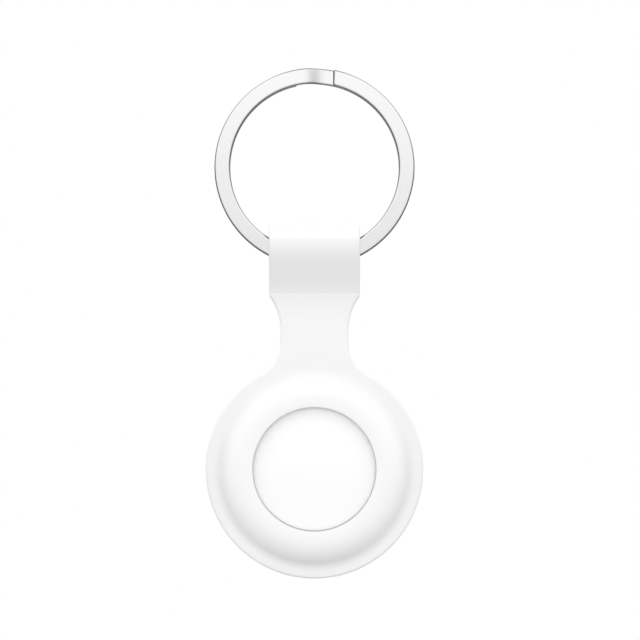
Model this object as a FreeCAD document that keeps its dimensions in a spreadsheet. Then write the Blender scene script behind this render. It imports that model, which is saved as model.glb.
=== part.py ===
import FreeCAD, Part
import math
import os
import re
import Sketcher

# Tracker tag holder: a white silicone loop and pocket on a split key ring, with a coin-shaped
# tracker tag in the pocket. Millimetres. The origin is the middle of the key ring, Z is up and
# the front of the holder looks along -Y.

os.makedirs("parts", exist_ok=True)
doc = FreeCAD.newDocument("tracker_tag_holder")

# Driving sizes, each written once
SIZES = {
    # key ring, a flat steel strip wound for two turns
    "ring_radius": 19.0,
    "strip_width": 3.0,
    "strip_thickness": 0.95,
    "turn_gap": 0.1,
    "strip_edge": 0.25,
    "jog_lead": 9.0,
    "jog_tail": 7.0,
    "front_end": 12.0,
    "back_end": 11.9,
    # loop of the holder round the ring
    "strap_width": 17.28,
    "eye_clearance": 0.17,
    "loop_wall": 2.01,
    "loop_lean": 25.51,
    "eye_edge": 0.4,
    # neck between the loop and the pocket, with rounds drawn for a neck of this height
    "neck_height": 12.632,
    "neck_thickness": 3.5,
    "neck_width": 12.86,
    "neck_straight": 2.4,
    "shoulder_round": 1.05,
    "root_round": 6.5,
    "foot_rise": 0.05,
    "foot_round": 0.2,
    # pocket of the holder round the tag
    "pocket_drop": 41.407,
    "tag_clearance": 0.12,
    "pocket_wall": 1.93,
    "flange_width": 2.55,
    "lip_rise": 0.8,
    "window_radius": 11.45,
    "crest_land": 1.95,
    "dome_foot_round": 1.5,
    "lip_round": 0.3,
    "edge_round": 0.5,
    # tag, layers from the front face to the back
    "cover_wall": 1.0,
    "sounder_space": 1.6,
    "board_thickness": 0.6,
    "floor_thickness": 0.45,
    "contact_space": 0.15,
    "cell_thickness": 3.2,
    "door_space": 0.7,
    "door_thickness": 0.3,
    # tag, layers from the cell outwards
    "cell_radius": 10.0,
    "cell_clearance": 0.2,
    "well_wall": 1.1,
    "channel_width": 1.6,
    "skirt_wall": 1.0,
    "glue_gap": 0.1,
    "cover_side": 1.95,
    # tag, outer form
    "crown_round": 95.0,
    "crown_inset": 3.15,
    "heel_round": 2.6,
    "inner_corner": 1.6,
    "inner_land": 1.6,
    "inner_drop": 1.28,
    # tag, sounder and board
    "coil_radius": 4.1,
    "coil_width": 1.0,
    "coil_height": 1.0,
    "coil_gap": 0.1,
    "magnet_gap": 0.4,
    "magnet_height": 1.7,
    "board_hole": 5.0,
    "board_rim_gap": 1.95,
    "board_notch": 0.6,
    "chip_height": 0.6,
    "passive_height": 0.45,
    "frame_gap": 0.2,
    "frame_width": 1.1,
    "frame_height": 0.8,
    "trace_width": 0.5,
    "trace_thickness": 0.1,
    "trace_angle": 96.0,
    # tag, battery well and contacts
    "well_height": 2.85,
    "skirt_height": 2.35,
    "contact_sheet": 0.15,
    "side_contact_width": 2.6,
    "leaf_width": 2.4,
    "leaf_seat": 0.475,
    "leaf_length": 4.6,
    # tag, coin cell
    "can_sheet": 0.3,
    "can_edge": 0.4,
    "crimp_width": 0.8,
    "gasket_width": 0.4,
    "cell_step": 0.2,
    # tag, battery door
    "door_gap": 0.15,
    "door_edge": 0.4,
    "door_skirt": 0.75,
    "bayonet_gap": 0.15,
    "bayonet_wall": 0.65,
    "bayonet_rise": 0.75,
    "tab_height": 0.7,
    "tab_angle": 24.0,
    "ledge_play": 0.1,
    "ledge_height": 0.6,
    "ledge_angle": 48.0,
    "stop_angle": 6.0,
    "seal_width": 0.5,
    "seal_height": 0.5,
}

sheet = doc.addObject("Spreadsheet::Sheet", "sizes")
for row, (alias, number) in enumerate(SIZES.items(), start=1):
    sheet.set("A%d" % row, alias)
    sheet.set("B%d" % row, str(number))
    sheet.setAlias("B%d" % row, alias)
doc.recompute()


def bound(text):
    """The expression with every size name pointed at the sheet."""
    return re.sub(r"[a-z]+(?:_[a-z]+)+", lambda found: "sizes." + found.group(0), text)


def value(text):
    """The number that an expression gives now."""
    return float(sheet.evalExpression(bound(text)))


def drive(item, prop, text):
    """Bind one property to the sheet."""
    item.setExpression(prop, bound(text))


def new_body(label, height="0"):
    """A body with its origin on the ring's axis plane, moved along Z."""
    body = doc.addObject("PartDesign::Body", label)
    body.Label = label
    drive(body, "Placement.Base.z", height)
    return body


def origin_item(body, role):
    """One of the body's own origin planes or axes."""
    return [item for item in body.Origin.OriginFeatures if item.Role == role][0]


def new_sketch(body, name, role):
    """An empty sketch on one of the body's origin planes."""
    sketch = body.newObject("Sketcher::SketchObject", name)
    sketch.AttachmentSupport = (origin_item(body, role), [""])
    sketch.MapMode = "FlatFace"
    return sketch


def place_point(sketch, geometry, end, x, y):
    """Bind both coordinates of a sketch point."""
    for kind, text, axis in (("DistanceX", x, -2), ("DistanceY", y, -1)):
        if text == "0":
            sketch.addConstraint(Sketcher.Constraint("PointOnObject", geometry, end, axis))
        else:
            index = sketch.addConstraint(Sketcher.Constraint(kind, -1, 1, geometry, end, value(text)))
            drive(sketch, "Constraints[%d]" % index, text)


def add_outline(sketch, corners):
    """A closed outline. Each corner is (x, y), reached by a straight side, or
    (x, y, radius, turn), reached by an arc that turns left or right."""
    points = [FreeCAD.Vector(value(corner[0]), value(corner[1]), 0) for corner in corners]
    sides = []
    for index, corner in enumerate(corners):
        start = points[index - 1]
        end = points[index]
        if len(corner) == 2:
            geometry = sketch.addGeometry(Part.LineSegment(start, end))
            sides.append((geometry, 1, 2))
            continue
        radius = value(corner[2])
        left = corner[3] == "left"
        chord = end - start
        across = FreeCAD.Vector(-chord.y, chord.x, 0).normalize()
        offset = math.sqrt(max(radius ** 2 - chord.Length ** 2 / 4, 0))
        centre = (start + end) * 0.5 + across * (offset if left else -offset)
        first, last = (start, end) if left else (end, start)
        from_angle = math.atan2(first.y - centre.y, first.x - centre.x)
        to_angle = math.atan2(last.y - centre.y, last.x - centre.x)
        if to_angle < from_angle:
            to_angle += 2 * math.pi
        circle = Part.Circle(centre, FreeCAD.Vector(0, 0, 1), radius)
        geometry = sketch.addGeometry(Part.ArcOfCircle(circle, from_angle, to_angle))
        sides.append((geometry, 1, 2) if left else (geometry, 2, 1))
    for index, corner in enumerate(corners):
        here = sides[index]
        after = sides[(index + 1) % len(sides)]
        sketch.addConstraint(Sketcher.Constraint("Coincident", here[0], here[2], after[0], after[1]))
        place_point(sketch, here[0], here[2], corner[0], corner[1])
        if len(corner) == 4:
            index = sketch.addConstraint(Sketcher.Constraint("Radius", here[0], value(corner[2])))
            drive(sketch, "Constraints[%d]" % index, corner[2])


def add_circle(sketch, x, y, radius):
    """A circle with its middle and radius bound."""
    circle = Part.Circle(FreeCAD.Vector(value(x), value(y), 0), FreeCAD.Vector(0, 0, 1), value(radius))
    geometry = sketch.addGeometry(circle)
    place_point(sketch, geometry, 3, x, y)
    index = sketch.addConstraint(Sketcher.Constraint("Radius", geometry, value(radius)))
    drive(sketch, "Constraints[%d]" % index, radius)


def swing_sketch(sketch, angle):
    """Turn a sketch round the body's Y axis, clockwise as seen from the front."""
    sketch.AttachmentOffset = FreeCAD.Placement(
        FreeCAD.Vector(0, 0, 0), FreeCAD.Rotation(FreeCAD.Vector(0, 1, 0), value(angle)))
    drive(sketch, "AttachmentOffset.Rotation.Angle", angle)


def turn(body, kind, sketch, angle="360", middle=False):
    """Revolve a sketch round its own upright axis, adding or cutting."""
    feature = body.newObject("PartDesign::" + kind, sketch.Name + "_turned")
    feature.Profile = sketch
    feature.ReferenceAxis = (sketch, ["V_Axis"])
    feature.Midplane = middle
    drive(feature, "Angle", angle)
    sketch.Visibility = False
    return feature


def extrude(body, kind, sketch, length=None, both=True, flip=False):
    """Pad or pocket a sketch by a bound length, or cut through all."""
    feature = body.newObject("PartDesign::" + kind, sketch.Name + "_drawn")
    feature.Profile = sketch
    feature.SideType = "Symmetric" if both else "One side"
    feature.Reversed = flip
    if length is None:
        feature.Type = "ThroughAll"
    else:
        drive(feature, "Length", length)
    sketch.Visibility = False
    return feature


def repeat(body, feature, count):
    """Repeat a feature evenly round the body's Y axis."""
    pattern = body.newObject("PartDesign::PolarPattern", feature.Name + "_round")
    pattern.Originals = [feature]
    pattern.Axis = (origin_item(body, "Y_Axis"), [""])
    pattern.Angle = 360
    pattern.Occurrences = count
    body.Tip = pattern
    return pattern


def round_edges(body, feature, radius, wanted):
    """Fillet those edges of a feature that the test picks."""
    doc.recompute()
    names = ["Edge%d" % number for number, edge in enumerate(feature.Shape.Edges, start=1) if wanted(edge)]
    if not names:
        raise RuntimeError("no edge to round on " + body.Label)
    fillet = body.newObject("PartDesign::Fillet", feature.Name + "_rounded")
    fillet.Base = (feature, names)
    drive(fillet, "Radius", radius)
    return fillet


def is_circle(edge, radius):
    """Whether an edge is part of a circle of this radius."""
    return isinstance(edge.Curve, Part.Circle) and abs(edge.Curve.Radius - radius) < 1e-4


# Key ring
# One steel strip: the front turn, a jog at the top that steps back by one layer, the back turn.
# Angles run clockwise from the top of the ring, so the body's X axis is turned up to Z.

LAYER = "(strip_thickness + turn_gap) / 2"

key_ring = new_body("key_ring")
key_ring.Placement.Rotation = FreeCAD.Rotation(FreeCAD.Vector(0, 1, 0), -90)


def strip_section(name, angle, level):
    """The strip's cross section with rounded edges at one angle and depth."""
    sketch = new_sketch(key_ring, name, "XY_Plane")
    swing_sketch(sketch, angle)
    inner = "ring_radius - strip_width"
    outer = "ring_radius"
    front = level + " - strip_thickness / 2"
    back = level + " + strip_thickness / 2"
    add_outline(sketch, [
        (inner + " + strip_edge", front, "strip_edge", "left"),
        (outer + " - strip_edge", front),
        (outer, front + " + strip_edge", "strip_edge", "left"),
        (outer, back + " - strip_edge"),
        (outer + " - strip_edge", back, "strip_edge", "left"),
        (inner + " + strip_edge", back),
        (inner, back + " - strip_edge", "strip_edge", "left"),
        (inner, front + " + strip_edge"),
    ])
    return sketch


turn(key_ring, "Revolution", strip_section("front_turn", "front_end", "-" + LAYER),
     "360 - front_end - jog_lead")
jog_sections = []
for number, share in enumerate((0, 0.125, 0.25, 0.5, 0.75, 0.875, 1)):
    eased = share ** 3 * (10 - 15 * share + 6 * share ** 2)
    angle = "-jog_lead + %.4f * (jog_lead + jog_tail)" % share
    level = "%.5f * %s" % (2 * eased - 1, LAYER)
    jog_sections.append(strip_section("jog_%d" % number, angle, level))
jog = key_ring.newObject("PartDesign::AdditiveLoft", "jog")
jog.Profile = jog_sections[0]
jog.Sections = jog_sections[1:]
turn(key_ring, "Revolution", strip_section("back_turn", "jog_tail", LAYER), "360 - jog_tail - back_end")

# Silicone holder
# One moulding: flat neck and rim, a drop-shaped loop with a round eye, and a domed pocket with a
# window on both sides. The body's origin is the middle of the pocket.

RING_INNER = "(ring_radius - strip_width)"
STRIP_HIGH = "sqrt(%s ^ 2 - (strap_width / 2) ^ 2)" % RING_INNER
EYE_DROP = "((ring_radius + %s) / 2)" % STRIP_HIGH
EYE_RADIUS = ("(hypot((ring_radius - %s) / 2; strip_thickness + turn_gap / 2) + eye_clearance)" % STRIP_HIGH)
LOOP_RADIUS = "(%s + loop_wall)" % EYE_RADIUS
POCKET_HEIGHT = "-(%s + pocket_drop)" % EYE_DROP

HALF_TAG = ("((cover_wall + sounder_space + board_thickness + floor_thickness + contact_space"
            " + cell_thickness + door_space + door_thickness) / 2)")
COVER_BORE = ("(cell_radius + cell_clearance + well_wall + channel_width + skirt_wall + glue_gap)")
TAG_RADIUS = "(%s + cover_side)" % COVER_BORE
CREST = "(%s + lip_rise)" % HALF_TAG
CREST_RADIUS = "(window_radius + crest_land)"
DOME_RADIUS = "(%s + tag_clearance + pocket_wall)" % TAG_RADIUS
RIM_RADIUS = "(%s + flange_width)" % DOME_RADIUS
HALF_NECK = "(neck_thickness / 2)"
DOME_RISE = "(%s - %s)" % (CREST, HALF_NECK)
DOME_REACH = "(%s - %s)" % (DOME_RADIUS, CREST_RADIUS)
DOME_ROUND = "((%s ^ 2 + %s ^ 2) / (2 * %s))" % (DOME_REACH, DOME_RISE, DOME_RISE)

# outer form of the tag, which the pocket follows with a clearance
CROWN_EDGE = "(%s - crown_inset)" % TAG_RADIUS
CROWN_SINE = "(%s / crown_round)" % CROWN_EDGE
CROWN_COSINE = "sqrt(1 - %s ^ 2)" % CROWN_SINE
SHOULDER = "(crown_inset / (1 - %s))" % CROWN_SINE
CROWN_EDGE_Y = "(crown_round * (1 - %s) - %s)" % (CROWN_COSINE, HALF_TAG)
EQUATOR_Y = "(%s + %s * %s)" % (CROWN_EDGE_Y, SHOULDER, CROWN_COSINE)
HEEL_SHARE = "((heel_round - cover_side) / heel_round)"
HEEL_RISE = "sqrt(1 - %s ^ 2)" % HEEL_SHARE
HEEL_Y = "(%s + heel_round * %s)" % (EQUATOR_Y, HEEL_RISE)
DOOR_RADIUS = "(%s - door_gap)" % COVER_BORE
DOOR_SAG = "(%s - %s)" % (HALF_TAG, HEEL_Y)
DOOR_ROUND = "((%s ^ 2 + %s ^ 2) / (2 * %s))" % (DOOR_RADIUS, DOOR_SAG, DOOR_SAG)

holder = new_body("silicone_holder", POCKET_HEIGHT)

# the loop's walls lean in from its round top and meet the faces of the neck at the foot
LOOP_Y = "(%s * cos(loop_lean))" % LOOP_RADIUS
LOOP_Z = "(pocket_drop - %s * sin(loop_lean))" % LOOP_RADIUS
FOOT_HIGH = "(%s - (%s - %s) / tan(loop_lean))" % (LOOP_Z, LOOP_Y, HALF_NECK)

# the rounds of the neck's sides follow the height left between rim and loop, and the waist's
# round takes up what is left between the straight of the neck and the shoulder
NECK_FIT = "((%s - %s) / neck_height)" % (FOOT_HIGH, RIM_RADIUS)
ROOT = "(root_round * %s)" % NECK_FIT
CORNER = "(shoulder_round * %s)" % NECK_FIT
WAIST_LOW = "sqrt((%s + %s) ^ 2 - (neck_width / 2 + %s) ^ 2)" % (RIM_RADIUS, ROOT, ROOT)
WAIST_HIGH = "(%s + neck_straight * %s)" % (WAIST_LOW, NECK_FIT)
SHOULDER_HIGH = "(%s - foot_rise)" % FOOT_HIGH
SHOULDER_UP = "(%s - %s)" % (SHOULDER_HIGH, WAIST_HIGH)
WAIST_IN = "((strap_width - neck_width) / 2)"
SHOULDER_SUM = "((%s ^ 2 + %s ^ 2) / (2 * %s))" % (SHOULDER_UP, WAIST_IN, WAIST_IN)
SHOULDER_ACROSS = "(%s - %s)" % (SHOULDER_SUM, WAIST_IN)
WAIST = "(%s - %s)" % (SHOULDER_SUM, CORNER)
JOIN_X = "(strap_width / 2 - %s + %s * %s / %s)" % (CORNER, CORNER, SHOULDER_ACROSS, SHOULDER_SUM)
JOIN_Z = "(%s - %s * %s / %s)" % (SHOULDER_HIGH, CORNER, SHOULDER_UP, SHOULDER_SUM)
ROOT_X = "((neck_width / 2 + %s) * %s / (%s + %s))" % (ROOT, RIM_RADIUS, RIM_RADIUS, ROOT)
ROOT_Z = "(%s * %s / (%s + %s))" % (WAIST_LOW, RIM_RADIUS, RIM_RADIUS, ROOT)

# section of the pocket's wall, turned round the tag's axis
FOOT_FALL = "(%s - %s - %s - dome_foot_round)" % (CREST, DOME_ROUND, HALF_NECK)
FOOT_SUM = "(%s + dome_foot_round)" % DOME_ROUND
FOOT_REACH = "sqrt(%s ^ 2 - %s ^ 2)" % (FOOT_SUM, FOOT_FALL)
FOOT_RADIUS = "(%s + %s)" % (CREST_RADIUS, FOOT_REACH)
BEND_RADIUS = "(%s + %s * %s / %s)" % (CREST_RADIUS, FOOT_REACH, DOME_ROUND, FOOT_SUM)
BEND_Y = "(%s - %s - %s * %s / %s)" % (CREST, DOME_ROUND, FOOT_FALL, DOME_ROUND, FOOT_SUM)
PLATE_HOLE = "(0.7 * %s + 0.3 * %s)" % (FOOT_RADIUS, RIM_RADIUS)
PLATE_LAP = "(0.35 * %s + 0.65 * %s)" % (FOOT_RADIUS, RIM_RADIUS)
FRONT_WALL = "(crown_round - %s - sqrt((crown_round + tag_clearance) ^ 2 - window_radius ^ 2))" % HALF_TAG
BACK_WALL = "(%s - %s + sqrt((%s + tag_clearance) ^ 2 - window_radius ^ 2))" % (HALF_TAG, DOOR_ROUND, DOOR_ROUND)

plate_sketch = new_sketch(holder, "plate", "XZ_Plane")
add_outline(plate_sketch, [
    ("strap_width / 2", "pocket_drop"),
    ("-strap_width / 2", "pocket_drop"),
    ("-strap_width / 2", SHOULDER_HIGH),
    ("-" + JOIN_X, JOIN_Z, CORNER, "left"),
    ("-neck_width / 2", WAIST_HIGH, WAIST, "right"),
    ("-neck_width / 2", WAIST_LOW),
    ("-" + ROOT_X, ROOT_Z, ROOT, "right"),
    ("0", "-" + RIM_RADIUS, RIM_RADIUS, "left"),
    (ROOT_X, ROOT_Z, RIM_RADIUS, "left"),
    ("neck_width / 2", WAIST_LOW, ROOT, "right"),
    ("neck_width / 2", WAIST_HIGH),
    (JOIN_X, JOIN_Z, WAIST, "right"),
    ("strap_width / 2", SHOULDER_HIGH, CORNER, "left"),
])
add_circle(plate_sketch, "0", "0", PLATE_HOLE)
extrude(holder, "Pad", plate_sketch, "neck_thickness")

loop_sketch = new_sketch(holder, "loop", "YZ_Plane")
add_outline(loop_sketch, [
    (HALF_NECK, FOOT_HIGH),
    (LOOP_Y, LOOP_Z),
    ("0", "pocket_drop + " + LOOP_RADIUS, LOOP_RADIUS, "left"),
    ("-" + LOOP_Y, LOOP_Z, LOOP_RADIUS, "left"),
    ("-" + HALF_NECK, FOOT_HIGH),
])
loop = extrude(holder, "Pad", loop_sketch, "strap_width")

foot_high = value(FOOT_HIGH)
half_neck = value(HALF_NECK)
strap_half = value("strap_width / 2")
eye_radius = value(EYE_RADIUS)
plate_hole = value(PLATE_HOLE)


def edge_spots(edge):
    """Five points along an edge."""
    span = edge.LastParameter - edge.FirstParameter
    return [edge.valueAt(edge.FirstParameter + share * span) for share in (0.0, 0.25, 0.5, 0.75, 1.0)]


def is_crease(edge):
    """The line where a wall of the loop runs into the neck."""
    return all(abs(spot.z - foot_high) < 1e-4 and abs(abs(spot.y) - half_neck) < 1e-4
               for spot in edge_spots(edge))


def is_outer(edge):
    """An edge of the outline: round the flanks of the loop, down the neck and round the rim."""
    spots = edge_spots(edge)
    on_flank = all(abs(abs(spot.x) - strap_half) < 1e-4 for spot in spots)
    on_face = all(abs(abs(spot.y) - half_neck) < 1e-4 for spot in spots)
    upright = abs(spots[0].y - spots[4].y) > half_neck and on_flank and abs(spots[0].z - spots[4].z) < 1e-4
    return (on_flank or on_face) and not upright and not is_circle(edge, plate_hole)


creases = round_edges(holder, loop, "foot_round", is_crease)
outer = round_edges(holder, creases, "edge_round", is_outer)

eye_sketch = new_sketch(holder, "eye", "YZ_Plane")
add_circle(eye_sketch, "0", "pocket_drop", EYE_RADIUS)
eye = extrude(holder, "Pocket", eye_sketch)
round_edges(holder, eye, "eye_edge", lambda edge: is_circle(edge, eye_radius))

pocket_sketch = new_sketch(holder, "pocket", "XY_Plane")
add_outline(pocket_sketch, [
    ("window_radius + lip_round", "-" + CREST, "lip_round", "left"),
    (CREST_RADIUS, "-" + CREST),
    (BEND_RADIUS, "-" + BEND_Y, DOME_ROUND, "left"),
    (FOOT_RADIUS, "-" + HALF_NECK, "dome_foot_round", "right"),
    (PLATE_LAP, "-" + HALF_NECK),
    (PLATE_LAP, HALF_NECK),
    (FOOT_RADIUS, HALF_NECK),
    (BEND_RADIUS, BEND_Y, "dome_foot_round", "right"),
    (CREST_RADIUS, CREST, DOME_ROUND, "left"),
    ("window_radius + lip_round", CREST),
    ("window_radius", CREST + " - lip_round", "lip_round", "left"),
    ("window_radius", BACK_WALL),
    (DOOR_RADIUS, "%s + tag_clearance" % HEEL_Y, "%s + tag_clearance" % DOOR_ROUND, "right"),
    ("%s + tag_clearance * %s" % (COVER_BORE, HEEL_SHARE),
     "%s + tag_clearance * %s" % (HEEL_Y, HEEL_RISE)),
    ("%s + tag_clearance" % TAG_RADIUS, EQUATOR_Y, "heel_round + tag_clearance", "right"),
    ("%s + tag_clearance * %s" % (CROWN_EDGE, CROWN_SINE),
     "%s - tag_clearance * %s" % (CROWN_EDGE_Y, CROWN_COSINE), "%s + tag_clearance" % SHOULDER, "right"),
    ("window_radius", FRONT_WALL, "crown_round + tag_clearance", "right"),
    ("window_radius", "lip_round - " + CREST),
])
turn(holder, "Revolution", pocket_sketch)

# Levels and radii of the tag
# The layers are stacked from the front face to the back and from the cell outwards. Every tag
# piece is turned round the tag's own axis, and its body's origin is the middle of the pocket.

BOARD_FRONT = "(cover_wall + sounder_space - %s)" % HALF_TAG
FLOOR_FRONT = "(%s + board_thickness)" % BOARD_FRONT
FLOOR_BACK = "(%s + floor_thickness)" % FLOOR_FRONT
CELL_FRONT = "(%s + contact_space)" % FLOOR_BACK
CELL_BACK = "(%s + cell_thickness)" % CELL_FRONT
WELL_INNER = "(cell_radius + cell_clearance)"
WELL_OUTER = "(%s + well_wall)" % WELL_INNER
SKIRT_INNER = "(%s + channel_width)" % WELL_OUTER
SKIRT_OUTER = "(%s + skirt_wall)" % SKIRT_INNER


def add_ring(sketch, inner, outer, front, back):
    """A rectangle between two radii and two depths."""
    add_outline(sketch, [(inner, front), (outer, front), (outer, back), (inner, back)])


def add_block(sketch, x, z, width, height):
    """A rectangle round a middle point."""
    left = "%s - %s / 2" % (x, width)
    right = "%s + %s / 2" % (x, width)
    low = "%s - %s / 2" % (z, height)
    high = "%s + %s / 2" % (z, height)
    add_outline(sketch, [(left, low), (right, low), (right, high), (left, high)])


def turned_ring(label, inner, outer, front, back):
    """A body that is one plain ring or disc."""
    body = new_body(label, POCKET_HEIGHT)
    sketch = new_sketch(body, label + "_section", "XY_Plane")
    add_ring(sketch, inner, outer, front, back)
    turn(body, "Revolution", sketch)
    return body


# Tag cover
# Moulded white shell: shallow crown, round shoulder, heel that turns in to the battery door.

INNER_EDGE = "(%s - inner_land)" % COVER_BORE
INNER_EDGE_Y = "(crown_round - %s - sqrt((crown_round - cover_wall) ^ 2 - %s ^ 2))" % (HALF_TAG, INNER_EDGE)
tag_cover = new_body("tag_cover", POCKET_HEIGHT)
cover_sketch = new_sketch(tag_cover, "cover_section", "XY_Plane")
add_outline(cover_sketch, [
    ("0", "-" + HALF_TAG),
    (CROWN_EDGE, CROWN_EDGE_Y, "crown_round", "left"),
    (TAG_RADIUS, EQUATOR_Y, SHOULDER, "left"),
    (COVER_BORE, HEEL_Y, "heel_round", "left"),
    (COVER_BORE, INNER_EDGE_Y + " + inner_drop"),
    (INNER_EDGE, INNER_EDGE_Y, "inner_corner", "right"),
    ("0", "cover_wall - " + HALF_TAG, "crown_round - cover_wall", "right"),
])
turn(tag_cover, "Revolution", cover_sketch)

# Sounder
# A copper coil is glued to the inside of the crown and a magnet stands inside it on the chassis.

COIL_FRONT = "(cover_wall + coil_gap - %s)" % HALF_TAG
voice_coil = turned_ring("voice_coil", "coil_radius - coil_width", "coil_radius",
                         COIL_FRONT, COIL_FRONT + " + coil_height")
speaker_magnet = turned_ring("speaker_magnet", "0", "coil_radius - coil_width - magnet_gap",
                             FLOOR_FRONT + " - magnet_height", FLOOR_FRONT)

# Circuit board
# A ring-shaped board that lies on the chassis floor, with two locating notches in its rim.

BOARD_OUTER = "(%s - board_rim_gap)" % COVER_BORE
BOARD_WIDTH = "(%s - board_hole)" % BOARD_OUTER
BOARD_MIDDLE = "((%s + board_hole) / 2)" % BOARD_OUTER
circuit_board = turned_ring("circuit_board", "board_hole", BOARD_OUTER, BOARD_FRONT, FLOOR_FRONT)
notch_sketch = new_sketch(circuit_board, "board_notches", "XZ_Plane")
add_circle(notch_sketch, BOARD_OUTER, "0", "board_notch")
add_circle(notch_sketch, "-" + BOARD_OUTER, "0", "board_notch")
extrude(circuit_board, "Pocket", notch_sketch)


def board_blocks(label, blocks, height):
    """Square components that stand on the front of the board, each (angle, radius, width, height)
    with the radius as a share of the board's middle radius and the sizes as shares of its width."""
    body = new_body(label, POCKET_HEIGHT)
    sketch = new_sketch(body, label + "_plan", "XZ_Plane")
    drive(sketch, "AttachmentOffset.Base.z", "-" + BOARD_FRONT)
    for angle, reach, wide, high in blocks:
        x = "%.5f * %s" % (reach * math.cos(math.radians(angle)), BOARD_MIDDLE)
        z = "%.5f * %s" % (reach * math.sin(math.radians(angle)), BOARD_MIDDLE)
        add_block(sketch, x, z, "%.3f * %s" % (wide, BOARD_WIDTH), "%.3f * %s" % (high, BOARD_WIDTH))
    extrude(body, "Pad", sketch, height, both=False)
    return body


board_chips = board_blocks("board_chips", [
    (90, 1.0, 0.68, 0.68),
    (212, 0.96, 0.70, 0.54),
    (328, 0.96, 0.56, 0.56),
    (150, 1.0, 0.36, 0.28),
    (30, 1.0, 0.32, 0.32),
], "chip_height")
board_passives = board_blocks("board_passives", [
    (0, 0.78, 0.17, 0.10),
    (0, 1.04, 0.17, 0.10),
    (180, 0.78, 0.17, 0.10),
    (180, 1.04, 0.17, 0.10),
    (270, 0.86, 0.20, 0.12),
    (270, 1.10, 0.17, 0.10),
    (60, 1.04, 0.17, 0.10),
    (120, 1.04, 0.17, 0.10),
], "passive_height")

# Aerials
# A plastic ring round the board carries three copper arcs on its front.

FRAME_INNER = "(%s + frame_gap)" % BOARD_OUTER
FRAME_FRONT = "(%s - frame_height)" % FLOOR_FRONT
antenna_frame = turned_ring("antenna_frame", FRAME_INNER, FRAME_INNER + " + frame_width", FRAME_FRONT, FLOOR_FRONT)
TRACE_INNER = "(%s + (frame_width - trace_width) / 2)" % FRAME_INNER
antenna_traces = new_body("antenna_traces", POCKET_HEIGHT)
trace_sketch = new_sketch(antenna_traces, "trace_section", "XY_Plane")
add_ring(trace_sketch, TRACE_INNER, TRACE_INNER + " + trace_width", FRAME_FRONT + " - trace_thickness", FRAME_FRONT)
repeat(antenna_traces, turn(antenna_traces, "Revolution", trace_sketch, "trace_angle", True), 3)

# Inner chassis
# Floor, battery well and outer skirt in one moulding. Three ledges on the skirt hold the door's
# tabs, a stop beside each ledge ends the turn, and two windows in the well let the side contacts in.

BAYONET_INNER = "(%s + bayonet_gap)" % WELL_OUTER
BAYONET_OUTER = "(%s + bayonet_wall)" % BAYONET_INNER
TAB_LOW = "(%s + bayonet_rise)" % FLOOR_BACK
TAB_HIGH = "(%s + tab_height)" % TAB_LOW
LEDGE_LOW = "(%s + ledge_play)" % TAB_HIGH
WELL_TOP = "(%s + well_height)" % FLOOR_BACK
SKIRT_TOP = "(%s + skirt_height)" % FLOOR_BACK
inner_chassis = new_body("inner_chassis", POCKET_HEIGHT)
chassis_sketch = new_sketch(inner_chassis, "chassis_section", "XY_Plane")
add_outline(chassis_sketch, [
    ("0", FLOOR_FRONT),
    (SKIRT_OUTER, FLOOR_FRONT),
    (SKIRT_OUTER, SKIRT_TOP),
    (SKIRT_INNER, SKIRT_TOP),
    (SKIRT_INNER, FLOOR_BACK),
    (WELL_OUTER, FLOOR_BACK),
    (WELL_OUTER, WELL_TOP),
    (WELL_INNER, WELL_TOP),
    (WELL_INNER, FLOOR_BACK),
    ("0", FLOOR_BACK),
])
turn(inner_chassis, "Revolution", chassis_sketch)
LEDGE_INNER = "(%s + bayonet_gap)" % BAYONET_OUTER
LEDGE_OUTER = "(%s + skirt_wall / 4)" % SKIRT_INNER
ledge_sketch = new_sketch(inner_chassis, "ledge_section", "XY_Plane")
add_ring(ledge_sketch, LEDGE_INNER, LEDGE_OUTER, LEDGE_LOW, LEDGE_LOW + " + ledge_height")
repeat(inner_chassis, turn(inner_chassis, "Revolution", ledge_sketch, "ledge_angle", True), 3)
stop_sketch = new_sketch(inner_chassis, "stop_section", "XY_Plane")
swing_sketch(stop_sketch, "-(tab_angle / 2 + 2 + stop_angle / 2)")
add_ring(stop_sketch, LEDGE_INNER, LEDGE_OUTER, TAB_LOW, LEDGE_LOW + " + ledge_height / 2")
repeat(inner_chassis, turn(inner_chassis, "Revolution", stop_sketch, "stop_angle", True), 3)
window_sketch = new_sketch(inner_chassis, "contact_windows", "XZ_Plane")
WINDOW_SPAN = "(side_contact_width * 1.4)"
add_block(window_sketch, "0", "0", "(2 * %s + channel_width / 2)" % WELL_OUTER, WINDOW_SPAN)
drive(window_sketch, "AttachmentOffset.Base.z", "-" + FLOOR_BACK)
extrude(inner_chassis, "Pocket", window_sketch, "well_height * 1.1", both=False)
slot_sketch = new_sketch(inner_chassis, "leaf_slot", "XZ_Plane")
LEAF_END = "(%s + leaf_seat)" % BOARD_MIDDLE
add_block(slot_sketch, "(%s - leaf_length / 2)" % LEAF_END, "0", "(leaf_length + 2 * cell_clearance)",
          "(leaf_width + 2 * cell_clearance)")
extrude(inner_chassis, "Pocket", slot_sketch)

# Battery contacts
# Two bowed side springs press on the can, and a leaf on the back of the board presses on the cap.

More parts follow.
